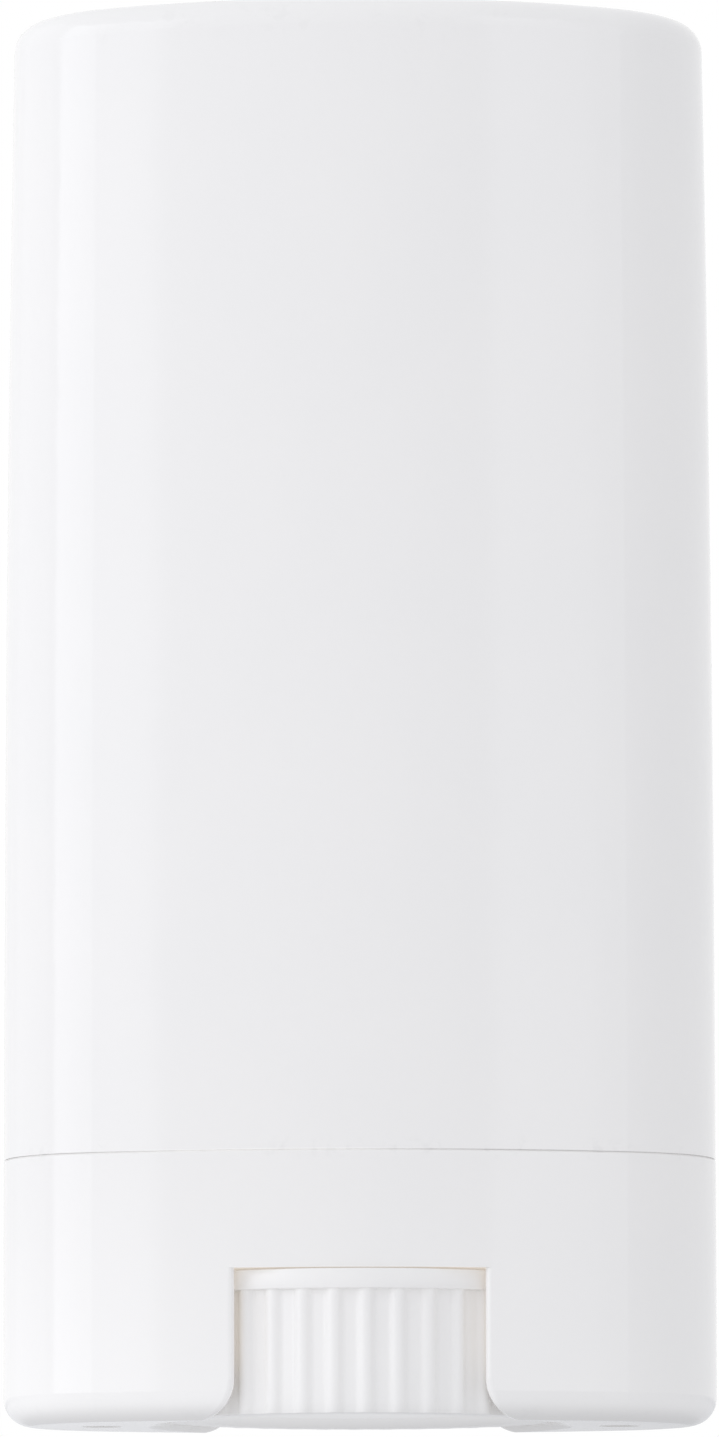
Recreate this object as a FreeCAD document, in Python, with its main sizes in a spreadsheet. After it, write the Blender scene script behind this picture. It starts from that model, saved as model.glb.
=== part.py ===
import FreeCAD, Part
import math
import os

import Sketcher

# Flat-oval twist-up stick pack: a drafted cap over a barrel, a ribbed dial let into the barrel's foot,
# an elevator platform on the dial's spindle, and the cast stick that it carries.
# Millimetres. +Z is up, the front looks along -Y and the origin is under the middle of the foot.

doc = FreeCAD.newDocument("TwistUpStick")

SIZES = {
    # the oval that every part of the pack is offset from
    "pack_width": 32.0,
    "pack_depth": 17.0,
    "end_round": 6.63,
    # barrel: foot, shoulder and neck
    "base_height": 11.95,
    "bottom_round": 1.25,
    "tube_inset": 2.4,
    "lobe_floor": 1.2,
    "neck_inset": 1.4,
    "neck_draft": 0.25,
    "neck_lip_ease": 0.2,
    "bead_level": 2.6,
    "bead_height": 0.7,
    "bead_proud": 0.12,
    "seam_ease": 0.1,
    # barrel: dial housing and the notches that open it
    "notch_width": 11.15,
    "notch_height": 6.70,
    "notch_corner": 1.8,
    "notch_corner_dip": 0.03,
    "notch_edge_round": 0.25,
    "housing_wall": 1.1,
    "housing_skin": 1.0,
    "mouth_round": 0.4,
    "bridge_thickness": 1.25,
    "mark_spacing": 23.2,
    "mark_width": 1.8,
    "mark_depth": 0.15,
    # dial
    "flange_proud": 0.45,
    "flange_height": 0.88,
    "cavity_clearance": 0.25,
    "dial_gap": 0.06,
    "dial_lift": 0.23,
    "rib_count": 38,
    "rib_phase": 2.0,
    "rib_radius": 0.4,
    "rib_proud": 0.25,
    "rib_inset": 0.1,
    "wheel_wall": 1.3,
    "wheel_web": 1.2,
    "wheel_ease": 0.2,
    "wheel_lead": 0.45,
    "recess_margin": 1.75,
    "recess_depth": 0.4,
    # dial post, barb and spindle
    "post_radius": 2.6,
    "post_clearance": 0.08,
    "barb_overhang": 0.4,
    "barb_play": 0.1,
    "barb_height": 0.9,
    "spindle_radius": 2.4,
    "spindle_clearance": 0.1,
    "spindle_short_of_lip": 3.0,
    "spindle_tip": 0.6,
    # platform
    "platform_side_gap": 0.15,
    "platform_lift": 0.15,
    "plate_thickness": 1.2,
    "rim_wall": 0.9,
    "rim_height": 3.0,
    "hub_wall": 1.7,
    "hub_height": 6.7,
    "web_thickness": 1.0,
    "web_height": 2.4,
    "barb_clearance": 0.3,
    # cast stick
    "stick_side_gap": 0.25,
    "stick_crown": 1.9,
    "stick_round": 1.2,
    "stick_headroom": 5.2,
    "bore_clearance": 0.2,
    # cap
    "cap_height": 51.84,
    "cap_wall": 1.15,
    "cap_ceiling": 1.4,
    "cap_crown": 0.42,
    "cap_top_round": 1.35,
    "cap_ceiling_ease": 0.5,
    "cap_mouth_inset": 0.02,
    "cap_waist_level": 36.0,
    "cap_waist_inset": 0.23,
    "cap_top_inset": 0.46,
    "lip_headroom": 9.7,
    "bead_groove_slack": 0.1,
}

sheet = doc.addObject("Spreadsheet::Sheet", "Sizes")
for row, (alias, size) in enumerate(SIZES.items(), start=1):
    sheet.set(f"A{row}", alias)
    sheet.set(f"B{row}", str(size))
    sheet.setAlias(f"B{row}", alias)
doc.recompute()

# Levels and radii that more than one part meets, as expressions on the sheet.
HALF_WIDTH = "Sizes.pack_width / 2"
HALF_DEPTH = "Sizes.pack_depth / 2"
SHOULDER = "Sizes.base_height"
CAP_TOP = "(Sizes.base_height + Sizes.cap_height)"
CEILING = f"({CAP_TOP} - Sizes.cap_ceiling)"
NECK_TOP = f"({CEILING} - Sizes.lip_headroom)"
BRIDGE_TOP = "(Sizes.notch_height + Sizes.bridge_thickness)"
FLANGE_RADIUS = "(Sizes.pack_depth / 2 + Sizes.flange_proud)"
CAVITY_RADIUS = f"({FLANGE_RADIUS} + Sizes.cavity_clearance)"
HOUSING_RADIUS = f"({CAVITY_RADIUS} + Sizes.housing_wall)"
FLANGE_TOP = "(Sizes.notch_height - Sizes.dial_gap)"
FLANGE_FOOT = f"({FLANGE_TOP} - Sizes.flange_height)"
BARB_FOOT = f"({BRIDGE_TOP} + Sizes.barb_play)"
BARB_TOP = f"({BARB_FOOT} + Sizes.barb_height)"
BARB_RADIUS = "(Sizes.post_radius + Sizes.post_clearance + Sizes.barb_overhang)"
SPINDLE_TOP = f"({NECK_TOP} - Sizes.spindle_short_of_lip)"
PLATE_FOOT = f"({BRIDGE_TOP} + Sizes.platform_lift)"
PLATE_TOP = f"({PLATE_FOOT} + Sizes.plate_thickness)"
PLATFORM_INSET = "(Sizes.tube_inset + Sizes.platform_side_gap)"
STICK_INSET = "(Sizes.tube_inset + Sizes.stick_side_gap)"
STICK_TOP = f"({CEILING} - Sizes.stick_headroom)"


def value(expression):
    """Number that an expression on the sheet gives now."""
    result = sheet.evalExpression(expression)
    return float(getattr(result, "Value", result))


def new_body(name):
    body = doc.addObject("PartDesign::Body", name)
    body.Label = name
    return body


def new_sketch(body, name, plane="XY_Plane", level="0"):
    """Empty sketch on one of the body's own origin planes, raised by an expression."""
    sketch = body.newObject("Sketcher::SketchObject", name)
    support = next(feature for feature in body.Origin.OriginFeatures if feature.Role == plane)
    sketch.AttachmentSupport = (support, [""])
    sketch.MapMode = "FlatFace"
    sketch.setExpression("AttachmentOffset.Base.z", level)
    return sketch


def bind(sketch, name, constraint, expression):
    """Add a dimension to a sketch and drive it from the sheet."""
    index = sketch.addConstraint(constraint)
    sketch.renameConstraint(index, name)
    sketch.setExpression(f"Constraints.{name}", expression)


def arc(centre, radius, start, end):
    circle = Part.Circle(FreeCAD.Vector(*centre, 0), FreeCAD.Vector(0, 0, 1), radius)
    return Part.ArcOfCircle(circle, start, end)


def oval_sketch(body, name, level, inset="0"):
    """Four-arc oval: two end arcs and two face arcs, offset inwards from the pack's own oval."""
    sketch = new_sketch(body, name, level=level)
    half_width = value(HALF_WIDTH)
    half_depth = value(HALF_DEPTH) - value(inset)
    end = value("Sizes.end_round") - value(inset)
    end_centre = half_width - value("Sizes.end_round")
    face = (end_centre ** 2 + half_depth ** 2 - end ** 2) / (2 * (half_depth - end))
    rise = face - half_depth
    turn = math.atan2(rise, end_centre)

    sketch.addGeometry(arc((end_centre, 0), end, -turn, turn), False)
    sketch.addGeometry(arc((0, -rise), face, turn, math.pi - turn), False)
    sketch.addGeometry(arc((-end_centre, 0), end, math.pi - turn, math.pi + turn), False)
    sketch.addGeometry(arc((0, rise), face, math.pi + turn, 2 * math.pi - turn), False)
    for first in range(4):
        sketch.addConstraint(Sketcher.Constraint("Tangent", first, 2, (first + 1) % 4, 1))
    sketch.addConstraint(Sketcher.Constraint("Symmetric", 0, 3, 2, 3, -1, 1))
    sketch.addConstraint(Sketcher.Constraint("PointOnObject", 0, 3, -1))
    sketch.addConstraint(Sketcher.Constraint("Equal", 0, 2))
    sketch.addConstraint(Sketcher.Constraint("Equal", 1, 3))
    bind(sketch, "end_arc", Sketcher.Constraint("Radius", 0, end), f"Sizes.end_round - {inset}")
    bind(sketch, "end_centre", Sketcher.Constraint("DistanceX", -1, 1, 0, 3, end_centre),
         f"{HALF_WIDTH} - Sizes.end_round")

    crest = sketch.addGeometry(Part.Point(FreeCAD.Vector(0, half_depth, 0)), True)
    sketch.addConstraint(Sketcher.Constraint("PointOnObject", crest, 1, 1))
    sketch.addConstraint(Sketcher.Constraint("PointOnObject", crest, 1, -2))
    bind(sketch, "half_depth", Sketcher.Constraint("DistanceY", -1, 1, crest, 1, half_depth),
         f"{HALF_DEPTH} - {inset}")
    return sketch


def outline_sketch(body, name, corners, plane="XZ_Plane", level="0", arcs=None):
    """Closed outline through corners given as pairs of expressions.

    arcs names the sides that bulge: side number to (centre x, centre y, radius, start angle, end angle),
    with the angles in degrees, the arc running anticlockwise, and the rest of the sides straight.
    """
    arcs = arcs or {}
    sketch = new_sketch(body, name, plane=plane, level=level)
    points = [FreeCAD.Vector(value(x), value(y), 0) for x, y in corners]
    count = len(points)
    starts = []
    for side in range(count):
        if side in arcs:
            x, y, radius, start, end = arcs[side]
            shape = arc((value(x), value(y)), value(radius), math.radians(start), math.radians(end))
            sketch.addGeometry(shape, False)
            first = 1 if shape.StartPoint.distanceToPoint(points[side]) < 1e-3 else 2
        else:
            sketch.addGeometry(Part.LineSegment(points[side], points[(side + 1) % count]), False)
            first = 1
        starts.append(first)
    for side in range(count):
        following = (side + 1) % count
        sketch.addConstraint(Sketcher.Constraint(
            "Coincident", side, 3 - starts[side], following, starts[following]))
    for side, (x, y) in enumerate(corners):
        for axis, expression in (("X", x), ("Y", y)):
            now = value(expression)
            if abs(now) < 1e-9:
                on_axis = -2 if axis == "X" else -1
                sketch.addConstraint(Sketcher.Constraint("PointOnObject", side, starts[side], on_axis))
            else:
                bind(sketch, f"corner{side}{axis.lower()}",
                     Sketcher.Constraint(f"Distance{axis}", -1, 1, side, starts[side], now), expression)
    for side in arcs:
        bind(sketch, f"arc{side}", Sketcher.Constraint("Radius", side, value(arcs[side][2])),
             arcs[side][2])
    return sketch


def pad(body, name, sketch, length, backwards=False):
    feature = body.newObject("PartDesign::Pad", name)
    feature.Profile = sketch
    feature.Reversed = backwards
    feature.setExpression("Length", length)
    return feature


def pocket(body, name, sketch, length, upwards=False):
    """Cut a sketch downwards, or upwards where asked."""
    feature = body.newObject("PartDesign::Pocket", name)
    feature.Profile = sketch
    feature.Reversed = upwards
    feature.setExpression("Length", length)
    return feature


def turned(body, name, sketch, cut=False):
    """Revolve a sketch about its own vertical axis, as a solid or as a groove."""
    feature = body.newObject("PartDesign::Groove" if cut else "PartDesign::Revolution", name)
    feature.Profile = sketch
    feature.ReferenceAxis = (sketch, ["V_Axis"])
    feature.Angle = 360
    return feature


def loft(body, name, sketches, cut=False):
    feature = body.newObject("PartDesign::SubtractiveLoft" if cut else "PartDesign::AdditiveLoft", name)
    feature.Profile = sketches[0]
    feature.Sections = sketches[1:]
    feature.Ruled = False
    return feature


def rounded(body, name, wanted, size, kind="Fillet"):
    """Fillet, or chamfer where asked, the edges of the body's tip that pass the test."""
    doc.recompute()
    base = body.Tip
    edges = [f"Edge{n}" for n, edge in enumerate(base.Shape.Edges, start=1) if wanted(edge)]
    if not edges:
        raise RuntimeError(f"{name}: no edge to round")
    feature = body.newObject(f"PartDesign::{kind}", name)
    feature.Base = (base, edges)
    feature.setExpression("Radius" if kind == "Fillet" else "Size", size)
    return feature


def at_level(level, tolerance=0.01):
    """Test for an edge that lies flat at one height."""
    height = value(level)

    def test(edge):
        box = edge.BoundBox
        return abs(box.ZMin - height) < tolerance and abs(box.ZMax - height) < tolerance
    return test


# Barrel: foot with closed lobes, dial housing, bridge over the dial, shoulder and neck tube.
barrel = new_body("barrel")
pad(barrel, "Foot", oval_sketch(barrel, "FootOutline", "0"), SHOULDER)
rounded(barrel, "FootRound", at_level("0"), "Sizes.bottom_round")
rounded(barrel, "ShoulderEase", at_level(SHOULDER), "Sizes.seam_ease", "Chamfer")
loft(barrel, "Neck", [
    oval_sketch(barrel, "NeckFoot", SHOULDER, "Sizes.neck_inset"),
    oval_sketch(barrel, "NeckLip", NECK_TOP, "(Sizes.neck_inset + Sizes.neck_draft)")])
pad(barrel, "Bead",
    oval_sketch(barrel, "BeadOutline", f"{SHOULDER} + Sizes.bead_level",
                "(Sizes.neck_inset - Sizes.bead_proud)"),
    "Sizes.bead_height")
pocket(barrel, "Tube", oval_sketch(barrel, "TubeOutline", NECK_TOP, "Sizes.tube_inset"),
       f"{NECK_TOP} - Sizes.lobe_floor")
rounded(barrel, "LipEase", at_level(NECK_TOP), "Sizes.neck_lip_ease", "Chamfer")

housing_flat = f"({HALF_DEPTH} - Sizes.housing_skin)"
housing_side = f"sqrt(pow({HOUSING_RADIUS}; 2) - pow({housing_flat}; 2))"
housing_turn = math.degrees(math.asin(value(housing_flat) / value(HOUSING_RADIUS)))
pad(barrel, "DialHousing", outline_sketch(barrel, "HousingOutline", [
    (housing_side, f"-{housing_flat}"),
    (housing_side, housing_flat),
    (f"-{housing_side}", housing_flat),
    (f"-{housing_side}", f"-{housing_flat}"),
], plane="XY_Plane", level="Sizes.lobe_floor", arcs={
    0: ("0", "0", HOUSING_RADIUS, -housing_turn, housing_turn),
    2: ("0", "0", HOUSING_RADIUS, 180 - housing_turn, 180 + housing_turn),
}), f"{BRIDGE_TOP} - Sizes.lobe_floor")

below = "-1"
notch_side = "(Sizes.notch_width / 2)"
corner_level = "(Sizes.notch_corner - Sizes.notch_corner_dip)"
corner_centre = f"({notch_side} + Sizes.notch_corner)"
notch_foot = f"({corner_centre} - sqrt(pow(Sizes.notch_corner; 2) - pow({corner_level}; 2)))"
corner_turn = math.degrees(math.asin(value(corner_level) / value("Sizes.notch_corner")))
notches = pocket(barrel, "Notches", outline_sketch(barrel, "NotchOutline", [
    (f"-{notch_foot}", below),
    (notch_foot, below),
    (notch_foot, "0"),
    (notch_side, corner_level),
    (notch_side, "Sizes.notch_height"),
    (f"-{notch_side}", "Sizes.notch_height"),
    (f"-{notch_side}", corner_level),
    (f"-{notch_foot}", "0"),
], arcs={
    2: (corner_centre, corner_level, "Sizes.notch_corner", 180, 180 + corner_turn),
    6: (f"-{corner_centre}", corner_level, "Sizes.notch_corner", 360 - corner_turn, 360),
}), "2 * Sizes.pack_depth")
notches.Midplane = True


def notch_edge(edge):
    """Straight upright edge where a notch side leaves the foot's outer face."""
    box = edge.BoundBox
    upright = box.ZLength > 1 and box.XLength < 1e-3 and box.YLength < 1e-3
    at_side = abs(abs(box.Center.x) - value(notch_side)) < 1e-3
    return upright and at_side and abs(box.Center.y) > value(housing_flat)


rounded(barrel, "NotchEdgeRound", notch_edge, "Sizes.notch_edge_round")

mouth_radius = f"({CAVITY_RADIUS} + Sizes.mouth_round)"
turned(barrel, "DialCavity", outline_sketch(barrel, "CavityProfile", [
    ("0", below),
    (mouth_radius, below),
    (mouth_radius, "0"),
    (CAVITY_RADIUS, "Sizes.mouth_round"),
    (CAVITY_RADIUS, "Sizes.notch_height"),
    ("0", "Sizes.notch_height"),
], arcs={2: (mouth_radius, "Sizes.mouth_round", "Sizes.mouth_round", 180, 270)}), cut=True)


def circle_sketch(body, name, level, radius, spots=(("0", "0"),)):
    """Round holes or studs of one radius at places given as pairs of expressions."""
    sketch = new_sketch(body, name, level=level)
    for number, (x, y) in enumerate(spots):
        centre = FreeCAD.Vector(value(x), value(y), 0)
        sketch.addGeometry(Part.Circle(centre, FreeCAD.Vector(0, 0, 1), value(radius)), False)
        bind(sketch, f"radius{number}", Sketcher.Constraint("Radius", number, value(radius)), radius)
        for axis, expression, now in (("X", x, centre.x), ("Y", y, centre.y)):
            if abs(now) < 1e-9:
                on_axis = -2 if axis == "X" else -1
                sketch.addConstraint(Sketcher.Constraint("PointOnObject", number, 3, on_axis))
            else:
                bind(sketch, f"centre{number}{axis.lower()}",
                     Sketcher.Constraint(f"Distance{axis}", -1, 1, number, 3, now), expression)
    return sketch


pocket(barrel, "PostHole",
       circle_sketch(barrel, "PostHoleOutline", BRIDGE_TOP, "Sizes.post_radius + Sizes.post_clearance"),
       "2 * Sizes.bridge_thickness")
mark_place = "(Sizes.mark_spacing / 2)"
pocket(barrel, "FootMarks",
       circle_sketch(barrel, "FootMarkOutline", "0", "Sizes.mark_width / 2",
                     [(mark_place, "0"), (f"-{mark_place}", "0")]),
       "Sizes.mark_depth", upwards=True)

# Dial: ribbed cup with a plain flange, a post through the bridge, a snap barb and the drive spindle.
dial = new_body("twist_dial")
crest_radius = f"({FLANGE_RADIUS} - Sizes.rib_inset)"
wheel_radius = f"({crest_radius} - Sizes.rib_proud)"
web_top = "(Sizes.dial_lift + Sizes.wheel_web)"
recess_top = "(Sizes.dial_lift + Sizes.recess_depth)"
wheel_bore = f"({wheel_radius} - Sizes.wheel_wall)"
recess_radius = f"({wheel_radius} - Sizes.recess_margin)"
tip_foot = f"({SPINDLE_TOP} - Sizes.spindle_tip)"
tip_radius = "(Sizes.spindle_radius - Sizes.spindle_tip)"
turned(dial, "Wheel", outline_sketch(dial, "WheelProfile", [
    ("0", recess_top),
    (recess_radius, recess_top),
    (f"{recess_radius} + Sizes.recess_depth", "Sizes.dial_lift"),
    (f"{wheel_radius} - Sizes.wheel_lead", "Sizes.dial_lift"),
    (wheel_radius, "Sizes.dial_lift + Sizes.wheel_ease"),
    (wheel_radius, FLANGE_FOOT),
    (FLANGE_RADIUS, FLANGE_FOOT),
    (FLANGE_RADIUS, FLANGE_TOP),
    (wheel_bore, FLANGE_TOP),
    (wheel_bore, web_top + " + Sizes.recess_depth"),
    ("Sizes.post_radius", web_top + " + Sizes.recess_depth"),
    ("Sizes.post_radius", BARB_FOOT),
    (BARB_RADIUS, BARB_FOOT),
    ("Sizes.spindle_radius", BARB_TOP),
    ("Sizes.spindle_radius", tip_foot),
    (tip_radius, SPINDLE_TOP),
    ("0", SPINDLE_TOP),
]))
rib_foot = "(Sizes.dial_lift + Sizes.wheel_ease)"
rib_centre = f"({crest_radius} - Sizes.rib_radius)"
rib = pad(dial, "Rib",
          circle_sketch(dial, "RibOutline", rib_foot, "Sizes.rib_radius",
                        [(f"{rib_centre} * sin(Sizes.rib_phase)", f"-{rib_centre} * cos(Sizes.rib_phase)")]),
          f"{FLANGE_FOOT} - {rib_foot}")
doc.recompute()
ribs = dial.newObject("PartDesign::PolarPattern", "Ribs")
ribs.Originals = [rib]
ribs.Axis = (rib.Profile[0], ["N_Axis"])
ribs.Angle = 360
ribs.setExpression("Occurrences", "Sizes.rib_count")
dial.Tip = ribs

# Platform: plate with a wiping rim, the nut hub on the spindle and webs that tie the hub to the rim.
platform = new_body("platform")
pad(platform, "Plate", oval_sketch(platform, "PlateOutline", PLATE_FOOT, PLATFORM_INSET),
    "Sizes.plate_thickness + Sizes.rim_height")
pocket(platform, "Cup",
       oval_sketch(platform, "CupOutline", f"{PLATE_TOP} + Sizes.rim_height",
                   f"({PLATFORM_INSET} + Sizes.rim_wall)"),
       "Sizes.rim_height")
bore_radius = "(Sizes.spindle_radius + Sizes.spindle_clearance)"
hub_radius = f"({bore_radius} + Sizes.hub_wall)"
pad(platform, "Hub", circle_sketch(platform, "HubOutline", PLATE_FOOT, hub_radius),
    "Sizes.plate_thickness + Sizes.hub_height")
rim_face = f"({HALF_WIDTH} - {PLATFORM_INSET} - Sizes.rim_wall / 2)"
rim_side = f"({HALF_DEPTH} - {PLATFORM_INSET} - Sizes.rim_wall / 2)"
half_web = "(Sizes.web_thickness / 2)"
for name, along, across in (("LongWeb", rim_face, half_web), ("ShortWeb", half_web, rim_side)):
    pad(platform, name, outline_sketch(platform, name + "Outline", [
        (f"-{along}", f"-{across}"),
        (along, f"-{across}"),
        (along, across),
        (f"-{along}", across),
    ], plane="XY_Plane", level=PLATE_TOP), "Sizes.web_height")
pocket(platform, "NutBore",
       circle_sketch(platform, "NutBoreOutline", f"{PLATE_TOP} + Sizes.hub_height", bore_radius),
       "Sizes.plate_thickness + Sizes.hub_height")
pocket(platform, "BarbSeat",
       circle_sketch(platform, "BarbSeatOutline", PLATE_FOOT, f"{BARB_RADIUS} + Sizes.barb_clearance"),
       f"{BARB_TOP} + Sizes.barb_clearance - {PLATE_FOOT}", upwards=True)


def dome(body, name, half_width, top, crown):
    """Cut the top of a body to a shallow sphere that falls by the crown at its ends."""
    margin = "2"
    ball = f"((pow({half_width}; 2) + pow({crown}; 2)) / (2 * {crown}))"
    outer = f"({half_width} + {margin})"
    drop = f"({ball} - sqrt(pow({ball}; 2) - pow({outer}; 2)))"
    sweep = math.degrees(math.asin(value(outer) / value(ball)))
    return turned(body, name, outline_sketch(body, name + "Profile", [
        ("0", top),
        (outer, f"{top} - {drop}"),
        (outer, f"{top} + {margin}"),
        ("0", f"{top} + {margin}"),
    ], arcs={0: ("0", f"{top} - {ball}", ball, 90 - sweep, 90)}), cut=True)


def on_dome(body):
    """Test for an edge of the domed face of the body's tip."""
    doc.recompute()
    domed = [face for face in body.Tip.Shape.Faces if isinstance(face.Surface, Part.Sphere)]
    rims = [edge for face in domed for edge in face.Edges]
    return lambda edge: any(edge.isSame(rim) for rim in rims)


# Cast stick: domed block that fills the tube, cast round the platform and bored for the spindle.
blank = new_body("stick_blank")
pad(blank, "Block", oval_sketch(blank, "BlockOutline", PLATE_TOP, STICK_INSET),
    f"{STICK_TOP} - {PLATE_TOP}")
dome(blank, "Dome", f"({HALF_WIDTH} - {STICK_INSET})", STICK_TOP, "Sizes.stick_crown")
rounded(blank, "DomeRound", on_dome(blank), "Sizes.stick_round")
pocket(blank, "SpindleBore",
       circle_sketch(blank, "SpindleBoreOutline", PLATE_TOP, "Sizes.spindle_radius + Sizes.bore_clearance"),
       f"{SPINDLE_TOP} + Sizes.bore_clearance - {PLATE_TOP}", upwards=True)
doc.recompute()
stick = doc.addObject("Part::Cut", "sunscreen_stick")
stick.Label = "sunscreen_stick"
stick.Base = blank
stick.Tool = platform

# Cap: drafted shell with a fuller waist, a crowned top and a shallow groove for the barrel's bead.
cap = new_body("cap")
waist = f"({SHOULDER} + Sizes.cap_waist_level)"
loft(cap, "Shell", [
    oval_sketch(cap, "ShellMouth", SHOULDER, "Sizes.cap_mouth_inset"),
    oval_sketch(cap, "ShellWaist", waist, "Sizes.cap_waist_inset"),
    oval_sketch(cap, "ShellTop", CAP_TOP, "Sizes.cap_top_inset")])
dome(cap, "Crown", f"({HALF_WIDTH} - Sizes.cap_top_inset)", CAP_TOP, "Sizes.cap_crown")
rounded(cap, "TopRound", on_dome(cap), "Sizes.cap_top_round")
loft(cap, "Inside", [
    oval_sketch(cap, "InsideMouth", SHOULDER, "(Sizes.cap_mouth_inset + Sizes.cap_wall)"),
    oval_sketch(cap, "InsideTop", CEILING, "(Sizes.cap_top_inset + Sizes.cap_wall)")], cut=True)
rounded(cap, "CeilingEase", at_level(CEILING), "Sizes.cap_ceiling_ease", "Chamfer")
pocket(cap, "BeadGroove",
       oval_sketch(cap, "GrooveOutline",
                   f"{SHOULDER} + Sizes.bead_level + Sizes.bead_height + Sizes.bead_groove_slack",
                   "(Sizes.cap_mouth_inset + Sizes.cap_wall - Sizes.bead_proud)"),
       "Sizes.bead_height + 2 * Sizes.bead_groove_slack")

doc.recompute()
for item in doc.Objects:
    if "Invalid" in item.State or "Error" in item.State:
        raise RuntimeError(f"{item.Name}: {item.State}")

os.makedirs("parts", exist_ok=True)
for part in (barrel, dial, platform, stick, cap):
    if part.Shape.isNull() or not part.Shape.isValid():
        raise RuntimeError(f"{part.Label}: bad shape")
    part.Shape.exportStep(f"parts/{part.Label}.step")
    box = part.Shape.BoundBox
    print(f"{part.Label}: {len(part.Shape.Solids)} solid, {part.Shape.Volume:.1f} mm3, "
          f"z {box.ZMin:.2f} to {box.ZMax:.2f}")
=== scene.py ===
import math

import bmesh
import bpy
from mathutils import Matrix, Vector


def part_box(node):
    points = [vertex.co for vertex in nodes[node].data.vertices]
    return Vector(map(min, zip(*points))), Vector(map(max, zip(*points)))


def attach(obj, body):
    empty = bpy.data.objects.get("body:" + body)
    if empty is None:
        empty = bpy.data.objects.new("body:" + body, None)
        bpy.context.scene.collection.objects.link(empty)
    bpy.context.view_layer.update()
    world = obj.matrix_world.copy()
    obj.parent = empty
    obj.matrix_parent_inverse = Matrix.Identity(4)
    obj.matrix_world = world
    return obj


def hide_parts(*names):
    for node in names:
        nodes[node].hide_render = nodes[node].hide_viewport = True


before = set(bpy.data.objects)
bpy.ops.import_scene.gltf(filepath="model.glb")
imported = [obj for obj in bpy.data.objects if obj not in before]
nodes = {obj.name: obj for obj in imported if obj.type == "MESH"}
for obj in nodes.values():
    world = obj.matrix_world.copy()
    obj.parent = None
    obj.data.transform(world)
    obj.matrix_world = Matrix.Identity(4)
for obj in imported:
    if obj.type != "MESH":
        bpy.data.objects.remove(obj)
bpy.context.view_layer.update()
mm = 0.001
print("frame loaded:", ", ".join(sorted(nodes)))

# camera: a long lens a little below the foot, tipped up towards the middle of the pack
cameraSetup = {
    "across": 0.02 * mm, "back": 600 * mm, "height": -26.0 * mm,
    "tip": 0.0962, "roll": 0.0016, "lens": 335.0, "sensor": 36, "near": 0.01, "far": 20,
}
bpy.ops.object.camera_add()
camera = bpy.context.object
camera.name = "packCamera"
camera.matrix_world = (
    Matrix.Translation((cameraSetup["across"], -cameraSetup["back"], cameraSetup["height"]))
    @ Matrix.Rotation(math.pi / 2 + cameraSetup["tip"], 4, "X")
    @ Matrix.Rotation(-cameraSetup["roll"], 4, "Z"))
camera.data.sensor_fit = "VERTICAL"
camera.data.sensor_height = cameraSetup["sensor"]
camera.data.lens = cameraSetup["lens"]
camera.data.clip_start = cameraSetup["near"]
camera.data.clip_end = cameraSetup["far"]
bpy.context.scene.camera = camera
bpy.context.scene.view_settings.view_transform = "Standard"
print("camera set")


# node helpers
def addNode(tree, kind, x=0, y=0, **settings):
    node = tree.nodes.new(kind)
    node.location = (x, y)
    for name, setting in settings.items():
        setattr(node, name, setting)
    return node


def plug(tree, source, socket):
    if hasattr(source, "is_output"):
        tree.links.new(source, socket)
    elif isinstance(source, (tuple, list)) and len(source) == 3 and socket.type == "RGBA":
        socket.default_value = (*source, 1)
    else:
        socket.default_value = source


def mathNode(tree, operation, first, second=0.0, x=0, y=0, clamp=False):
    node = addNode(tree, "ShaderNodeMath", x, y, operation=operation, use_clamp=clamp)
    plug(tree, first, node.inputs[0])
    plug(tree, second, node.inputs[1])
    return node.outputs[0]


def vectorMath(tree, operation, first, second, x=0, y=0):
    node = addNode(tree, "ShaderNodeVectorMath", x, y, operation=operation)
    plug(tree, first, node.inputs[0])
    plug(tree, second, node.inputs[1])
    return node.outputs[0]


def lengthNode(tree, place, x=0, y=0):
    node = addNode(tree, "ShaderNodeVectorMath", x, y, operation="LENGTH")
    tree.links.new(place, node.inputs[0])
    return node.outputs["Value"]


def splitNode(tree, place, x=0, y=0):
    node = addNode(tree, "ShaderNodeSeparateXYZ", x, y)
    tree.links.new(place, node.inputs[0])
    return node.outputs


def rangeNode(tree, source, low, high, outLow=0.0, outHigh=1.0, x=0, y=0):
    node = addNode(tree, "ShaderNodeMapRange", x, y, interpolation_type="SMOOTHSTEP")
    for socket, given in zip(node.inputs, (source, low, high, outLow, outHigh)):
        plug(tree, given, socket)
    return node.outputs[0]


def noiseNode(tree, place, scale, detail=2.0, x=0, y=0, distortion=0.0):
    node = addNode(tree, "ShaderNodeTexNoise", x, y)
    plug(tree, place, node.inputs["Vector"])
    plug(tree, scale, node.inputs["Scale"])
    node.inputs["Detail"].default_value = detail
    node.inputs["Distortion"].default_value = distortion
    return node.outputs["Fac"]


# of a colour mix, inputs 6 and 7 are the two colours and output 2 is the result
def mixColour(tree, amount, first, second, x=0, y=0):
    node = addNode(tree, "ShaderNodeMix", x, y, data_type="RGBA")
    plug(tree, amount, node.inputs["Factor"])
    plug(tree, first, node.inputs[6])
    plug(tree, second, node.inputs[7])
    return node.outputs[2]


def mixShader(tree, amount, first, second, x=0, y=0):
    node = addNode(tree, "ShaderNodeMixShader", x, y)
    for socket, source in zip(node.inputs, (amount, first, second)):
        tree.links.new(source, socket)
    return node.outputs[0]


def plainShader(tree, kind, colour, x=0, y=0):
    node = addNode(tree, kind, x, y)
    node.inputs["Color"].default_value = (*colour, 1)
    return node


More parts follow.
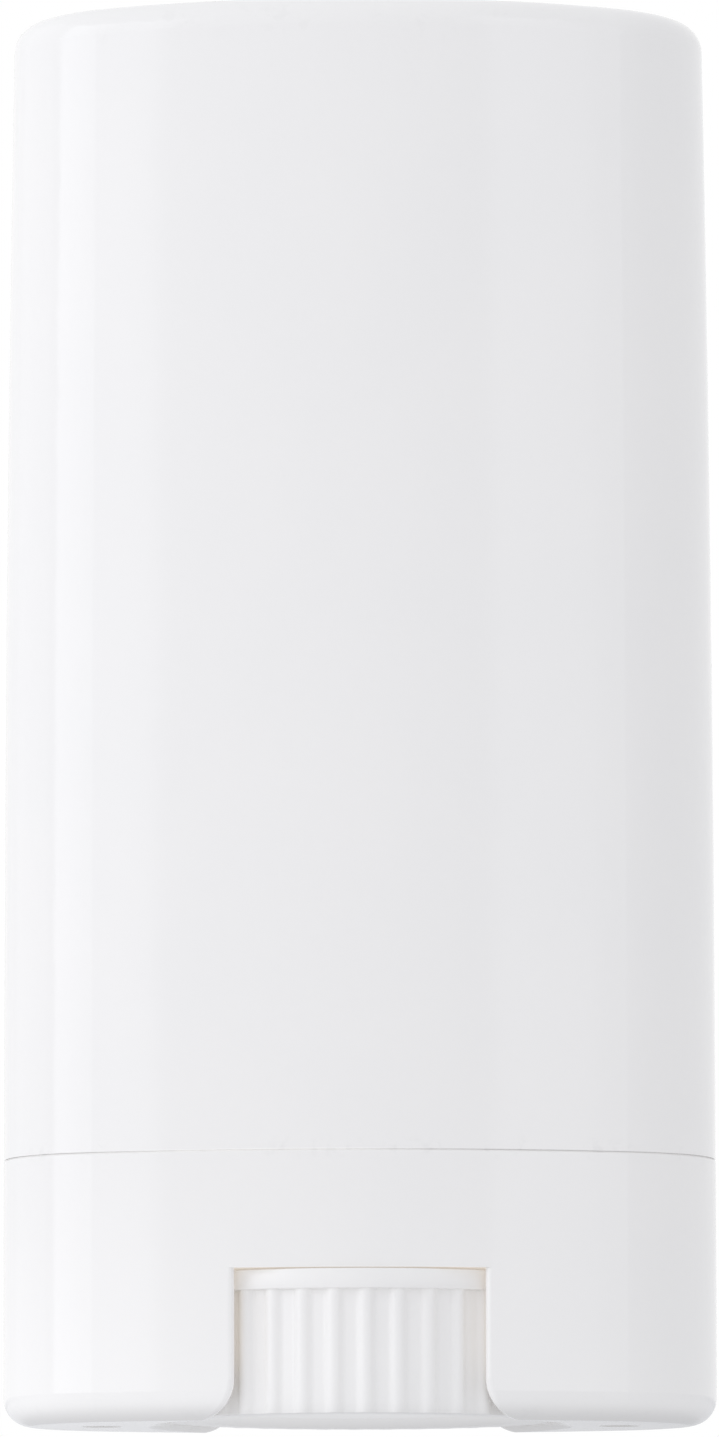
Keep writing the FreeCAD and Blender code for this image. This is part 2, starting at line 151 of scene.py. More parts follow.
# world: white wherever the camera or a reflection looks, a little dimmer and cooler as light
white = (1.0, 1.0, 1.0)
studio = {"ambient": 0.797, "ambientTint": (0.955, 0.966, 1.0), "sheen": 1.0}
world = bpy.data.worlds.new("studioRoom")
bpy.context.scene.world = world
world.use_nodes = True
tree = world.node_tree
tree.nodes.clear()
path = addNode(tree, "ShaderNodeLightPath", -800, 0).outputs
seen = mathNode(tree, "MAXIMUM", path["Is Camera Ray"], path["Is Glossy Ray"], -600, 0)
seen = mathNode(tree, "MAXIMUM", seen, path["Is Transmission Ray"], -400, 0)
ambient = plainShader(tree, "ShaderNodeBackground", studio["ambientTint"], -200, 100)
ambient.inputs["Strength"].default_value = studio["ambient"]
sheen = plainShader(tree, "ShaderNodeBackground", white, -200, -100)
sheen.inputs["Strength"].default_value = studio["sheen"]
room = mixShader(tree, seen, ambient.outputs[0], sheen.outputs[0], 0, 0)
tree.links.new(room, addNode(tree, "ShaderNodeOutputWorld", 200, 0).inputs[0])

# softboxes: upright panels round the pack, given by the bearings of their two edges in degrees from the
# front; each side has a wide panel and a narrow one, and those on the right are seen only in reflections
softboxSize = {"distance": 0.7, "height": 1.1, "level": 0.2}
softboxes = [
    {"name": "softboxLeft", "fromBearing": -81, "toBearing": -35, "radiance": 0.8, "onlyReflected": False},
    {"name": "softboxOuter", "fromBearing": -81, "toBearing": -50, "radiance": 0.42, "onlyReflected": False},
    {"name": "softboxRear", "fromBearing": -130, "toBearing": -89, "radiance": 0.13, "onlyReflected": False},
    {"name": "softboxRight", "fromBearing": 23, "toBearing": 42, "radiance": 0.34, "onlyReflected": True},
    {"name": "softboxRightWide", "fromBearing": 23, "toBearing": 51, "radiance": 0.28, "onlyReflected": True},
]


def addSoftbox(name, fromBearing, toBearing, radiance, onlyReflected):
    distance, height = softboxSize["distance"], softboxSize["height"]
    middle = math.radians((fromBearing + toBearing) / 2)
    halfSpread = math.radians((toBearing - fromBearing) / 2)
    place = Vector((math.sin(middle), -math.cos(middle), 0)) * distance
    bpy.ops.object.light_add(type="AREA", location=(place.x, place.y, softboxSize["level"]))
    lamp = bpy.context.object
    lamp.name = name
    lamp.data.shape = "RECTANGLE"
    lamp.data.size = 2 * distance * math.tan(halfSpread)
    lamp.data.size_y = height
    lamp.data.energy = radiance * math.pi * lamp.data.size * height
    lamp.data.color = studio["ambientTint"]
    lamp.visible_diffuse = not onlyReflected
    lamp.rotation_euler = (-place).to_track_quat("-Z", "Y").to_euler()


for softbox in softboxes:
    addSoftbox(**softbox)
print("studio lit")

# floor: pale, and seen only from above; where the pack stands on it, rays bounced off the pack see a painted
# glow instead of the lit floor, weaker right under the foot as painted contact shade and stronger on the
# lamps' side as painted side light; far off it fades to white
floorSetup = {
    "size": 3.0, "level": -0.05 * mm, "colour": (0.90, 0.90, 0.905),
    "reach": 12 * mm, "glow": 0.835, "footGlow": 0.65, "footFrom": 0.5 * mm, "footTo": 1.2 * mm,
    "sideReach": 20 * mm, "litSide": 1.10, "farSide": 0.95,
    "fadeFrom": 90 * mm, "fadeTo": 320 * mm,
}
bpy.ops.object.select_all(action="DESELECT")
bpy.ops.mesh.primitive_plane_add(size=floorSetup["size"], location=(0, 0, floorSetup["level"]))
floor = bpy.context.object
floor.name = "paleFloor"
floorMaterial = bpy.data.materials.new("paleFloor")
floorMaterial.use_nodes = True
floorMaterial.cycles.emission_sampling = "NONE"
tree = floorMaterial.node_tree
tree.nodes.clear()
path = addNode(tree, "ShaderNodeLightPath", -900, 100).outputs
place = addNode(tree, "ShaderNodeTexCoord", -1100, -350).outputs["Object"]
facing = addNode(tree, "ShaderNodeNewGeometry", -200, -200).outputs
matte = plainShader(tree, "ShaderNodeBsdfDiffuse", floorSetup["colour"], -200, 200)
glow = plainShader(tree, "ShaderNodeEmission", studio["ambientTint"], -200, 50)
backdrop = plainShader(tree, "ShaderNodeEmission", white, 0, 300)
clear = addNode(tree, "ShaderNodeBsdfTransparent", 0, -100)

# painted light: the glow's strength, dimmed right under the foot as painted shade and raised on the lamps'
# side
underFoot = rangeNode(tree, path["Ray Length"], floorSetup["footFrom"], floorSetup["footTo"],
                      floorSetup["footGlow"], floorSetup["glow"], -650, -150)
across = splitNode(tree, place, -900, -350)["X"]
side = rangeNode(tree, across, -floorSetup["sideReach"], floorSetup["sideReach"],
                 floorSetup["litSide"], floorSetup["farSide"], -650, -350)
tree.links.new(mathNode(tree, "MULTIPLY", underFoot, side, -400, -200), glow.inputs["Strength"])
# painted light: only diffuse and glossy rays that land close to the pack see the glow
near = mathNode(tree, "LESS_THAN", path["Ray Length"], floorSetup["reach"], -650, 0)
bounced = mathNode(tree, "MAXIMUM", path["Is Diffuse Ray"], path["Is Glossy Ray"], -650, 200)
contact = mathNode(tree, "MULTIPLY", near, bounced, -420, 100)
top = mixShader(tree, contact, matte.outputs[0], glow.outputs[0], 0, 150)
fade = rangeNode(tree, lengthNode(tree, place, -900, 400), floorSetup["fadeFrom"], floorSetup["fadeTo"],
                 x=-700, y=400)
looked = mathNode(tree, "MAXIMUM", path["Is Camera Ray"], path["Is Glossy Ray"], -650, 600)
fade = mathNode(tree, "MULTIPLY", fade, looked, -450, 450)
cove = mixShader(tree, fade, top, backdrop.outputs[0], 150, 250)
sided = mixShader(tree, facing["Backfacing"], cove, clear.outputs[0], 300, 0)
tree.links.new(sided, addNode(tree, "ShaderNodeOutputMaterial", 500, 0).inputs[0])
floor.data.materials.append(floorMaterial)
print("floor laid")


# effects that the finishes share, as node groups
def newGroup(name, inputs, outputs):
    group = bpy.data.node_groups.new(name, "ShaderNodeTree")
    for label, kind, start in inputs:
        socket = group.interface.new_socket(name=label, in_out="INPUT", socket_type=kind)
        if start is not None:
            socket.default_value = start
    for label in outputs:
        group.interface.new_socket(name=label, in_out="OUTPUT", socket_type="NodeSocketFloat")
    return (group, addNode(group, "NodeGroupInput", -1400, 0).outputs,
            addNode(group, "NodeGroupOutput", 700, 0).inputs)


def groupNode(tree, group, settings, x=0, y=0):
    node = addNode(tree, "ShaderNodeGroup", x, y, node_tree=group)
    for label, setting in settings.items():
        plug(tree, setting, node.inputs[label])
    return node.outputs


# moulded skin: faint ripple and grain for the bump, uneven gloss, and pull marks along the pack
skinLook = {
    "cloudScale": 95.0, "cloudWarp": 0.6,
    "markScale": 5200.0, "markStretch": (1.0, 1.0, 0.035), "markRange": (0.66, 0.74),
    "patchScale": 240.0, "patchRange": (0.5, 0.66), "markDepth": 0.25, "markGloss": 0.3,
}
mouldedSkin, given, result = newGroup("mouldedSkin", [
    ("Position", "NodeSocketVector", None),
    ("Ripple Scale", "NodeSocketFloat", 260.0),
    ("Ripple Height", "NodeSocketFloat", 0.5),
    ("Grain Scale", "NodeSocketFloat", 5200.0),
    ("Grain Height", "NodeSocketFloat", 0.12),
    ("Pull Marks", "NodeSocketFloat", 0.2),
    ("Roughness", "NodeSocketFloat", 0.12),
    ("Uneven Gloss", "NodeSocketFloat", 0.03),
], ["Roughness", "Height", "Cloud"])
ripple = noiseNode(mouldedSkin, given["Position"], given["Ripple Scale"], 1.0, -1000, 300)
grain = noiseNode(mouldedSkin, given["Position"], given["Grain Scale"], 3.0, -1000, 100)
cloud = noiseNode(mouldedSkin, given["Position"], skinLook["cloudScale"], 3.0, -1000, -100,
                  skinLook["cloudWarp"])
stretched = vectorMath(mouldedSkin, "MULTIPLY", given["Position"], skinLook["markStretch"], -1200, -300)
marks = noiseNode(mouldedSkin, stretched, skinLook["markScale"], 2.0, -1000, -300)
marks = rangeNode(mouldedSkin, marks, *skinLook["markRange"], x=-800, y=-300)
patches = noiseNode(mouldedSkin, given["Position"], skinLook["patchScale"], 2.0, -1000, -500)
patches = rangeNode(mouldedSkin, patches, *skinLook["patchRange"], x=-800, y=-500)
marks = mathNode(mouldedSkin, "MULTIPLY", marks, patches, -600, -400)
marks = mathNode(mouldedSkin, "MULTIPLY", marks, given["Pull Marks"], -400, -400)
ripple = mathNode(mouldedSkin, "MULTIPLY", ripple, given["Ripple Height"], -600, 300)
grain = mathNode(mouldedSkin, "MULTIPLY", grain, given["Grain Height"], -600, 100)
scratched = mathNode(mouldedSkin, "MULTIPLY", marks, skinLook["markDepth"], -200, -300)
height = mathNode(mouldedSkin, "ADD", ripple, grain, -300, 250)
height = mathNode(mouldedSkin, "SUBTRACT", height, scratched, 0, 200)
# the cloud's 0 to 1 becomes a swing of -1 to 1 round the roughness
swing = mathNode(mouldedSkin, "SUBTRACT", cloud, 0.5, -600, -100)
swing = mathNode(mouldedSkin, "MULTIPLY", swing, given["Uneven Gloss"], -400, -100)
swing = mathNode(mouldedSkin, "MULTIPLY", swing, 2.0, -200, -100)
dulled = mathNode(mouldedSkin, "MULTIPLY", marks, skinLook["markGloss"], 0, -250)
gloss = mathNode(mouldedSkin, "ADD", given["Roughness"], swing, 0, -50)
gloss = mathNode(mouldedSkin, "ADD", gloss, dulled, 200, -50)
mouldedSkin.links.new(gloss, result["Roughness"])
mouldedSkin.links.new(height, result["Height"])
mouldedSkin.links.new(cloud, result["Cloud"])

# rim wear: a broken band of small scuffs round one height of the pack
wearLook = {
    "fleckScale": 1900.0, "fleckWarp": 0.4, "fleckRange": (0.53, 0.68),
    "breakScale": 330.0, "breakRange": (0.42, 0.6),
}
rimWear, given, result = newGroup("rimWear", [
    ("Position", "NodeSocketVector", None),
    ("Level", "NodeSocketFloat", 0.0),
    ("Reach", "NodeSocketFloat", 0.6 * mm),
    ("Amount", "NodeSocketFloat", 1.0),
], ["Scuffs"])
level = splitNode(rimWear, given["Position"], -1100, 200)["Z"]
offset = mathNode(rimWear, "SUBTRACT", level, given["Level"], -900, 200)
offset = mathNode(rimWear, "ABSOLUTE", offset, x=-700, y=200)
offset = mathNode(rimWear, "DIVIDE", offset, given["Reach"], -500, 200)
band = mathNode(rimWear, "SUBTRACT", 1.0, offset, -300, 200, clamp=True)
flecks = noiseNode(rimWear, given["Position"], wearLook["fleckScale"], 4.0, -900, -100, wearLook["fleckWarp"])
flecks = rangeNode(rimWear, flecks, *wearLook["fleckRange"], x=-600, y=-100)
breaks = noiseNode(rimWear, given["Position"], wearLook["breakScale"], 2.0, -900, -300)
breaks = rangeNode(rimWear, breaks, *wearLook["breakRange"], x=-600, y=-300)
scuffs = mathNode(rimWear, "MULTIPLY", flecks, breaks, -300, -150)
scuffs = mathNode(rimWear, "MULTIPLY", scuffs, band, -100, 0)
scuffs = mathNode(rimWear, "MULTIPLY", scuffs, given["Amount"], 200, 0)
rimWear.links.new(scuffs, result["Scuffs"])

# painted light: a glow mask on the cavity wall and a notch's ceiling, standing in for light that the thin
# walls round the dial pass on
paintedCavityLight, given, result = newGroup("paintedCavityLight", [
    ("Position", "NodeSocketVector", None),
    ("Radius", "NodeSocketFloat", 9.35 * mm),
    ("Half Width", "NodeSocketFloat", 5.6 * mm),
    ("Top", "NodeSocketFloat", 6.7 * mm),
    ("Edge", "NodeSocketFloat", 0.08 * mm),
    ("Ceiling Share", "NodeSocketFloat", 0.4),
    ("Fade From", "NodeSocketFloat", 0.7 * mm),
    ("Fade To", "NodeSocketFloat", 3.2 * mm),
], ["Mask"])
split = splitNode(paintedCavityLight, given["Position"], -1100, 200)
flat = vectorMath(paintedCavityLight, "MULTIPLY", given["Position"], (1.0, 1.0, 0.0), -1100, 450)
within = mathNode(paintedCavityLight, "LESS_THAN", lengthNode(paintedCavityLight, flat, -900, 450), given["Radius"], -700, 450)
raised = rangeNode(paintedCavityLight, split["Z"], given["Fade From"], given["Fade To"], x=-700, y=650)
within = mathNode(paintedCavityLight, "MULTIPLY", within, raised, -500, 450)
across = mathNode(paintedCavityLight, "ABSOLUTE", split["X"], x=-900, y=250)
across = mathNode(paintedCavityLight, "LESS_THAN", across, given["Half Width"], -700, 250)
below = mathNode(paintedCavityLight, "SUBTRACT", given["Top"], split["Z"], -900, 50)
ceiling = mathNode(paintedCavityLight, "LESS_THAN", below, given["Edge"], -700, 50)
ceiling = mathNode(paintedCavityLight, "MULTIPLY", across, ceiling, -500, 200)
ceiling = mathNode(paintedCavityLight, "MULTIPLY", ceiling, given["Ceiling Share"], -400, 100)
lit = mathNode(paintedCavityLight, "MAXIMUM", within, ceiling, -300, 300)
under = mathNode(paintedCavityLight, "GREATER_THAN", below, 0.0, -500, 0)
lit = mathNode(paintedCavityLight, "MULTIPLY", lit, under, -100, 200)
paintedCavityLight.links.new(lit, result["Mask"])

# painted light: a glow mask in the seam where the cap sits closest on the shoulder, standing in for light
# that the thin lips pass on, to lighten the seam's shade
paintedSeamLight, given, result = newGroup("paintedSeamLight", [
    ("Position", "NodeSocketVector", None),
    ("Level", "NodeSocketFloat", 0.0),
    ("Reach", "NodeSocketFloat", 0.03 * mm),
    ("Centre", "NodeSocketFloat", 0.0),
    ("Fade From", "NodeSocketFloat", 2.5 * mm),
    ("Fade To", "NodeSocketFloat", 10.0 * mm),
], ["Mask"])
split = splitNode(paintedSeamLight, given["Position"], -1100, 200)
offset = mathNode(paintedSeamLight, "SUBTRACT", split["Z"], given["Level"], -900, 50)
offset = mathNode(paintedSeamLight, "ABSOLUTE", offset, x=-700, y=50)
near = mathNode(paintedSeamLight, "LESS_THAN", offset, given["Reach"], -500, 50)
aside = mathNode(paintedSeamLight, "SUBTRACT", split["X"], given["Centre"], -900, 300)
aside = mathNode(paintedSeamLight, "ABSOLUTE", aside, x=-700, y=300)
fade = rangeNode(paintedSeamLight, aside, given["Fade From"], given["Fade To"], 1.0, 0.0, -500, 300)
paintedSeamLight.links.new(mathNode(paintedSeamLight, "MULTIPLY", near, fade, -200, 200), result["Mask"])


def newFinish(name, setup):
    material = bpy.data.materials.new(name)
    material.use_nodes = True
    tree = material.node_tree
    shader = tree.nodes["Principled BSDF"]
    shader.location = (900, 0)
    shader.inputs["IOR"].default_value = setup["ior"]
    return material, tree, shader, addNode(tree, "ShaderNodeTexCoord", -900, 0).outputs["Object"]


def bumpNode(tree, height, distance, x=600, y=-300):
    node = addNode(tree, "ShaderNodeBump", x, y)
    node.inputs["Distance"].default_value = distance
    tree.links.new(height, node.inputs["Height"])
    return node.outputs["Normal"]


# moulded white: clean plastic with clouded gloss, scuffed rims, and a painted glow where the walls are thin,
# standing in for light passed on through them
def mouldedWhite(name, setup):
    material, tree, shader, place = newFinish(name, setup)
    skin = groupNode(tree, mouldedSkin, {
        "Position": place, "Ripple Scale": setup["rippleScale"], "Ripple Height": setup["rippleHeight"],
        "Grain Scale": setup["grainScale"], "Grain Height": setup["grainHeight"],
        "Pull Marks": setup["pullMarks"], "Roughness": setup["roughness"],
        "Uneven Gloss": setup["unevenGloss"]}, -600, 100)
    scuffs = 0.0
    for row, (level, reach, amount) in enumerate(setup["rims"]):
        rim = groupNode(tree, rimWear, {
            "Position": place, "Level": level, "Reach": reach, "Amount": amount}, -600, -250 - 220 * row)
        scuffs = mathNode(tree, "MAXIMUM", scuffs, rim["Scuffs"], -300, -250 - 220 * row)

    cloud = rangeNode(tree, skin["Cloud"], *setup["cloudRange"], x=-300, y=350)
    tone = mixColour(tree, cloud, setup["colour"], setup["cloudColour"], -50, 300)
    tone = mixColour(tree, scuffs, tone, setup["scuffColour"], 200, 300)
    tree.links.new(tone, shader.inputs["Base Color"])
    dulled = mathNode(tree, "MULTIPLY", scuffs, setup["scuffGloss"], 100, 0)
    gloss = mathNode(tree, "ADD", skin["Roughness"], dulled, 300, 50, clamp=True)
    tree.links.new(gloss, shader.inputs["Roughness"])
    dented = mathNode(tree, "MULTIPLY", scuffs, setup["scuffDepth"], 100, -200)
    height = mathNode(tree, "SUBTRACT", skin["Height"], dented, 300, -200)
    tree.links.new(bumpNode(tree, height, setup["bump"]), shader.inputs["Normal"])

    # painted light: the masks' colours become an emission glow on the surface
    lit = (0.0, 0.0, 0.0)
    for row, (group, spot) in enumerate(setup["paintedGlows"]):
        mask = groupNode(tree, group, {"Position": place, **spot["extent"]}, -600, -1200 - 400 * row)["Mask"]
        lit = mixColour(tree, mask, lit, spot["colour"], 200, -1200 - 400 * row)
    if setup["paintedGlows"]:
        tree.links.new(lit, shader.inputs["Emission Color"])
        shader.inputs["Emission Strength"].default_value = setup["paintedGlowStrength"]
    return material


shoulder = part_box("cap")[0][2]
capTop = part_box("cap")[1][2]
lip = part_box("barrel")[1][2]
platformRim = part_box("platform")[1][2]

# painted light: the grey glow colour and its extent in the seam
paintedSeamGlow = {
    "colour": (0.45, 0.45, 0.45),
    "extent": {"Level": shoulder, "Reach": 0.03 * mm, "Centre": -4.0 * mm, "Fade From": 2.5 * mm,
               "Fade To": 10.0 * mm},
}
# painted light: the warm glow colour and its extent on the cavity wall and the notch ceiling
paintedCavityGlow = {
    "colour": (1.0, 0.9, 0.79),
    "extent": {"Radius": 9.35 * mm, "Half Width": 5.6 * mm, "Top": 6.705 * mm, "Edge": 0.08 * mm,
               "Ceiling Share": 0.4, "Fade From": 0.7 * mm, "Fade To": 3.2 * mm},
}
whitePlastic = {
    "ior": 1.5, "roughness": 0.12, "unevenGloss": 0.03, "bump": 0.012 * mm,
    "colour": (0.955, 0.942, 0.925), "cloudColour": (0.946, 0.935, 0.92), "cloudRange": (0.35, 0.65),
    "scuffColour": (0.88, 0.87, 0.855), "scuffGloss": 0.25, "scuffDepth": 0.5,
    "rippleScale": 260.0, "rippleHeight": 0.5, "grainScale": 5200.0, "grainHeight": 0.12, "pullMarks": 0.2,
    "paintedGlows": [], "paintedGlowStrength": 0.2,
}
# each rim is a level, how far the scuffs reach from it, and their amount
capFinish = {
    **whitePlastic, "paintedGlows": [(paintedSeamLight, paintedSeamGlow)],
    "rims": [(shoulder, 0.7 * mm, 0.55), (capTop - 1.1 * mm, 1.3 * mm, 0.35)],
}
barrelFinish = {
    **whitePlastic, "roughness": 0.13, "paintedGlows": [(paintedSeamLight, paintedSeamGlow), (paintedCavityLight, paintedCavityGlow)],
    "rims": [(shoulder, 0.5 * mm, 0.7), (0.3 * mm, 0.8 * mm, 0.3), (lip, 0.7 * mm, 0.5)],
}
dialFinish = {
    **whitePlastic, "roughness": 0.34, "pullMarks": 0.0, "grainHeight": 0.2, "unevenGloss": 0.06,
    "rims": [(0.25 * mm, 0.4 * mm, 0.3), (5.76 * mm, 0.2 * mm, 0.4)],
}
platformFinish = {
    **whitePlastic, "roughness": 0.38, "grainHeight": 0.3, "unevenGloss": 0.1,
    "colour": (0.90, 0.895, 0.87), "cloudColour": (0.885, 0.88, 0.85),
    "rims": [(platformRim, 0.6 * mm, 0.6)],
}


# cast balm: pale cream and waxy, with pour ripples and a few closed pinholes; light goes some way into it
def castBalm(name, setup):
    material, tree, shader, place = newFinish(name, setup)
    shader.subsurface_method = "RANDOM_WALK"
    shader.inputs["Subsurface Weight"].default_value = setup["depthOfLight"]
    shader.inputs["Subsurface Radius"].default_value = setup["lightSpread"]
    shader.inputs["Subsurface Scale"].default_value = setup["spreadScale"]
    swirl = noiseNode(tree, place, setup["swirlScale"], 3.0, -600, 300, setup["swirlWarp"])
    grains = noiseNode(tree, place, setup["grainScale"], 3.0, -600, 100)
    bubbles = addNode(tree, "ShaderNodeTexVoronoi", -600, -150, feature="F1")
    tree.links.new(place, bubbles.inputs["Vector"])
    bubbles.inputs["Scale"].default_value = setup["pitScale"]
    bubbles.inputs["Randomness"].default_value = 1.0
    pits = rangeNode(tree, bubbles.outputs["Distance"], *setup["pitRange"], 1.0, 0.0, -300, -150)
    rare = noiseNode(tree, place, setup["rareScale"], 1.0, -600, -400)
    rare = rangeNode(tree, rare, *setup["rareRange"], x=-300, y=-400)
    pits = mathNode(tree, "MULTIPLY", pits, rare, -50, -250)

    cloud = rangeNode(tree, swirl, *setup["swirlRange"], x=-300, y=350)
    tone = mixColour(tree, cloud, setup["colour"], setup["swirlColour"], 0, 300)
    darker = mathNode(tree, "MULTIPLY", pits, setup["pitTone"], 150, 100)
    tone = mixColour(tree, darker, tone, setup["pitColour"], 300, 250)
    tree.links.new(tone, shader.inputs["Base Color"])
    swing = mathNode(tree, "SUBTRACT", swirl, 0.5, -300, 150)
    swing = mathNode(tree, "MULTIPLY", swing, setup["unevenGloss"], -100, 100)
    dulled = mathNode(tree, "MULTIPLY", pits, setup["pitGloss"], 100, -100)
    gloss = mathNode(tree, "ADD", setup["roughness"], swing, 100, 50)
    gloss = mathNode(tree, "ADD", gloss, dulled, 300, 50)
    tree.links.new(gloss, shader.inputs["Roughness"])
    swirl = mathNode(tree, "MULTIPLY", swirl, setup["swirlHeight"], -100, -50)
    grains = mathNode(tree, "MULTIPLY", grains, setup["grainHeight"], -100, -200)
    sunk = mathNode(tree, "MULTIPLY", pits, setup["pitDepth"], 150, -300)
    height = mathNode(tree, "ADD", swirl, grains, 150, -150)
    height = mathNode(tree, "SUBTRACT", height, sunk, 350, -200)
    tree.links.new(bumpNode(tree, height, setup["bump"]), shader.inputs["Normal"])
    return material


balmFinish = {
    "ior": 1.45, "roughness": 0.42, "unevenGloss": 0.2, "bump": 0.03 * mm,
    "depthOfLight": 0.35, "lightSpread": (1.0, 0.8, 0.5), "spreadScale": 1.8 * mm,
    "colour": (0.93, 0.905, 0.84), "grainScale": 2600.0, "grainHeight": 0.25,
    "swirlScale": 130.0, "swirlWarp": 1.2, "swirlRange": (0.35, 0.65), "swirlHeight": 0.6,
    "swirlColour": (0.92, 0.89, 0.815),
    "pitScale": 420.0, "pitRange": (0.05, 0.13), "rareScale": 147.0, "rareRange": (0.6, 0.7),
    "pitColour": (0.84, 0.80, 0.70), "pitTone": 0.6, "pitGloss": 0.2, "pitDepth": 1.2,
}

# twist dial: turned up ring by ring, its ribs pulled out of the wheel, with a threaded spindle in its post
dialLow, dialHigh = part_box("twist_dial")
wheelFoot = dialLow[2]
flangeRadius = min(dialHigh[0], dialHigh[1])
wheelRadius = flangeRadius - 0.35 * mm
flangeFoot, flangeTop = wheelFoot + 5.53 * mm, wheelFoot + 6.41 * mm
webTop = wheelFoot + 1.6 * mm
barbFoot, barbTop = wheelFoot + 7.82 * mm, wheelFoot + 8.72 * mm
dialSetup = {
    "ribs": 38, "ribColumns": 16, "ribTurn": 2.0, "tipRise": 0.05 * mm,
    # how far the wheel swells out, from a rib's crest to the middle of the groove beside it
    "ribShape": [0.25 * mm, 0.24 * mm, 0.208 * mm, 0.148 * mm, 0.052 * mm, 0.01 * mm],
    # radius, height and share of the rib's height, ring by ring from the recess under the wheel
    "rings": [
        (wheelRadius - 1.75 * mm, wheelFoot + 0.4 * mm, 0),
        (wheelRadius - 1.4 * mm, wheelFoot + 0.05 * mm, 0),
        (wheelRadius - 1.3 * mm, wheelFoot, 0),
        (wheelRadius - 0.5 * mm, wheelFoot, 0),
        (wheelRadius - 0.06 * mm, wheelFoot, 1),
        (wheelRadius - 0.015 * mm, wheelFoot + 0.015 * mm, 1),
        (wheelRadius, wheelFoot + 0.06 * mm, 1),
        (wheelRadius, wheelFoot + 2.1 * mm, 1),
        (wheelRadius, wheelFoot + 3.9 * mm, 1),
        (wheelRadius, flangeFoot - 0.02 * mm, 1),
        (flangeRadius - 0.05 * mm, flangeFoot, 0),
        (flangeRadius - 0.012 * mm, flangeFoot + 0.015 * mm, 0),
        (flangeRadius, flangeFoot + 0.05 * mm, 0),
        (flangeRadius, flangeTop - 0.1 * mm, 0),
        (flangeRadius - 0.03 * mm, flangeTop - 0.03 * mm, 0),
        (flangeRadius - 0.1 * mm, flangeTop, 0),
        (7.36 * mm, flangeTop, 0),
        (7.3 * mm, flangeTop - 0.06 * mm, 0),
        (7.3 * mm, webTop + 0.3 * mm, 0),
        (7.2 * mm, webTop + 0.08 * mm, 0),
        (7.0 * mm, webTop, 0),
        (2.8 * mm, webTop, 0),
        (2.65 * mm, webTop + 0.06 * mm, 0),
        (2.6 * mm, webTop + 0.2 * mm, 0),
        (2.6 * mm, barbFoot, 0),
        (3.04 * mm, barbFoot, 0),
        (3.08 * mm, barbFoot + 0.05 * mm, 0),
        (2.4 * mm, barbTop, 0),
    ],
}
threadSetup = {
    "root": 2.0 * mm, "crest": 2.4 * mm, "pitch": 3.6 * mm, "windings": 14, "steps": 48,
    "foot": barbTop - 0.3 * mm, "top": dialHigh[2], "tip": 0.6 * mm,
    # the tooth along one pitch: share of the pitch and share of its height
    "tooth": [(0.0, 0), (0.55, 0), (0.6, 0.08), (0.68, 0.9), (0.72, 1), (0.84, 1), (0.88, 0.9), (0.96, 0.08),
              (1.0, 0)],
}
tolerance = 0.001 * mm


# adds a primitive as a new piece with its origin on the axis, all of it selected in edit mode
def startPiece(name, addPrimitive, **settings):
    bpy.ops.object.select_all(action="DESELECT")
    addPrimitive(**settings)
    piece = bpy.context.object
    piece.name = name
    bpy.ops.object.transform_apply(location=True, rotation=False, scale=True)
    bpy.ops.object.mode_set(mode="EDIT")
    bpy.ops.mesh.select_mode(type="VERT")
    bpy.ops.mesh.select_all(action="SELECT")
    return piece


def endPiece():
    bpy.ops.mesh.select_all(action="SELECT")
    bpy.ops.mesh.normals_make_consistent(inside=False)
    bpy.ops.object.mode_set(mode="OBJECT")


def extrudeBy(x, y, z):
    bpy.ops.mesh.extrude_region_move(TRANSFORM_OT_translate={"value": (x, y, z)})


def scaleFromAxis(factor):
    bpy.ops.transform.resize(value=(factor, factor, 1), center_override=(0, 0, 0))


# leaves selected only the points of the piece in edit mode that pass the test
def pickPoints(piece, wanted):
    bpy.ops.mesh.select_all(action="DESELECT")
    mesh = bmesh.from_edit_mesh(piece.data)
    for point in mesh.verts:
        if wanted(point.co):
            point.select = True
    mesh.select_flush(True)
    bmesh.update_edit_mesh(piece.data)


def onRing(place, radius, level):
    return abs(place.z - level) < tolerance and abs(place.xy.length - radius) < tolerance


def makeDialWheel(setup):
    firstRadius, firstLevel, _ = setup["rings"][0]
    columns = setup["ribs"] * setup["ribColumns"]
    wheel = startPiece("dialWheel", bpy.ops.mesh.primitive_circle_add, vertices=columns, radius=firstRadius,
                       location=(0, 0, firstLevel))
    radius, level = firstRadius, firstLevel
    for nextRadius, nextLevel, _ in setup["rings"][1:]:
        extrudeBy(0, 0, nextLevel - level)
        scaleFromAxis(nextRadius / radius)
        radius, level = nextRadius, nextLevel
    extrudeBy(0, 0, setup["tipRise"])
    bpy.ops.mesh.merge(type="CENTER")
    pickPoints(wheel, lambda place: onRing(place, firstRadius, firstLevel))
    extrudeBy(0, 0, 0)
    bpy.ops.mesh.merge(type="CENTER")

    # ribs: each column of points near a crest is scaled out from the axis
    pitch = 360 / setup["ribs"]
    column = pitch / setup["ribColumns"]
    for radius, level, share in setup["rings"]:
        if not share:
            continue
        for step, swell in enumerate(setup["ribShape"]):
            def onColumn(place):
                if not onRing(place, radius, level):
                    return False
                turn = math.degrees(math.atan2(place.x, -place.y)) - setup["ribTurn"]
                away = abs((turn + pitch / 2) % pitch - pitch / 2)
                return abs(away / column - step) < 0.5
            pickPoints(wheel, onColumn)
            scaleFromAxis(1 + share * swell / radius)
    endPiece()
    return wheel


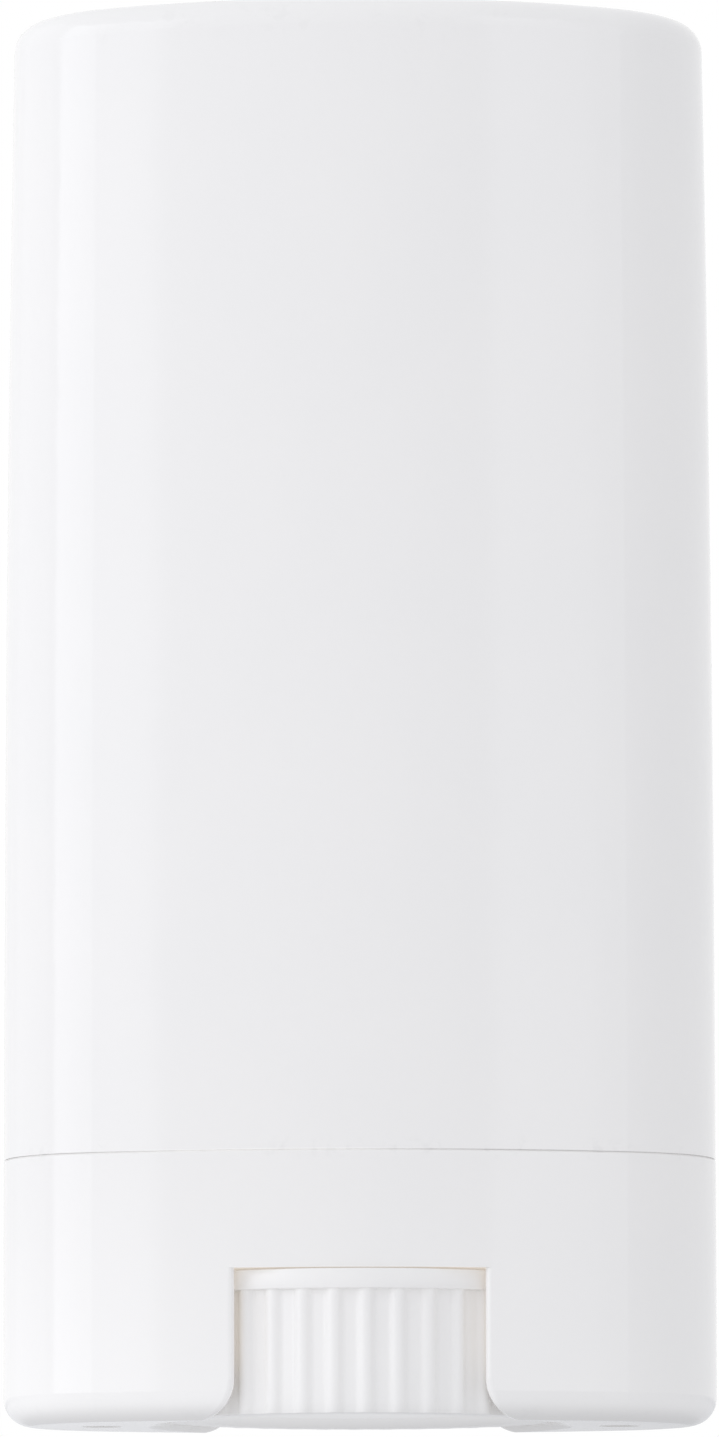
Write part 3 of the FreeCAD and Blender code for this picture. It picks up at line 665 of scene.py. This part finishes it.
# one pitch of the tooth, drawn from a single point, wound up the spindle and cut off at both ends
def makeSpindle(setup):
    height = setup["crest"] - setup["root"]
    spindle = startPiece("dialSpindle", bpy.ops.mesh.primitive_plane_add, size=1 * mm,
                         location=(setup["root"], 0, setup["foot"] - setup["pitch"]))
    bpy.ops.mesh.merge(type="CENTER")
    along, out = setup["tooth"][0]
    for nextAlong, nextOut in setup["tooth"][1:]:
        extrudeBy((nextOut - out) * height, 0, (nextAlong - along) * setup["pitch"])
        along, out = nextAlong, nextOut
    bpy.ops.object.mode_set(mode="OBJECT")
    winding = spindle.modifiers.new("winding", "SCREW")
    winding.axis = "Z"
    winding.steps = winding.render_steps = setup["steps"]
    winding.angle = -2 * math.pi
    winding.screw_offset = setup["pitch"]
    winding.iterations = setup["windings"]
    winding.use_merge_vertices = True
    winding.merge_threshold = tolerance
    bpy.ops.object.modifier_apply(modifier="winding")
    bpy.ops.object.mode_set(mode="EDIT")
    bpy.ops.mesh.select_all(action="SELECT")
    bpy.ops.mesh.remove_doubles(threshold=tolerance)
    shaftTop = setup["top"] - setup["tip"]
    for level, upper in ((setup["foot"], False), (shaftTop, True)):
        bpy.ops.mesh.select_all(action="SELECT")
        bpy.ops.mesh.bisect(plane_co=(0, 0, level), plane_no=(0, 0, 1), use_fill=True, clear_outer=upper,
                            clear_inner=not upper, threshold=tolerance / 10)
    # the tip is the cut face drawn in to a blunt end
    pickPoints(spindle, lambda place: place.z > shaftTop - 0.01 * mm)
    extrudeBy(0, 0, setup["tip"])
    scaleFromAxis(1 - setup["tip"] / setup["crest"])
    endPiece()
    return spindle


def makeDial():
    wheel = makeDialWheel(dialSetup)
    spindle = makeSpindle(threadSetup)
    bpy.ops.object.select_all(action="DESELECT")
    spindle.select_set(True)
    wheel.select_set(True)
    bpy.context.view_layer.objects.active = wheel
    bpy.ops.object.join()
    wheel.name = "ribbedDial"
    bpy.ops.object.shade_smooth_by_angle(angle=math.radians(40))
    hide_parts("twist_dial")
    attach(wheel, "dial")
    print("dial made:", len(wheel.data.polygons), "faces")
    return wheel


ribbedDial = makeDial()

finishes = [
    (nodes["cap"], mouldedWhite("glossWhiteCap", capFinish)),
    (nodes["barrel"], mouldedWhite("glossWhiteBarrel", barrelFinish)),
    (ribbedDial, mouldedWhite("satinWhiteDial", dialFinish)),
    (nodes["platform"], mouldedWhite("naturalPlatform", platformFinish)),
    (nodes["sunscreen_stick"], castBalm("castBalm", balmFinish)),
]
for piece, finish in finishes:
    piece.data.materials.clear()
    piece.data.materials.append(finish)
    print("finish on", piece.name)
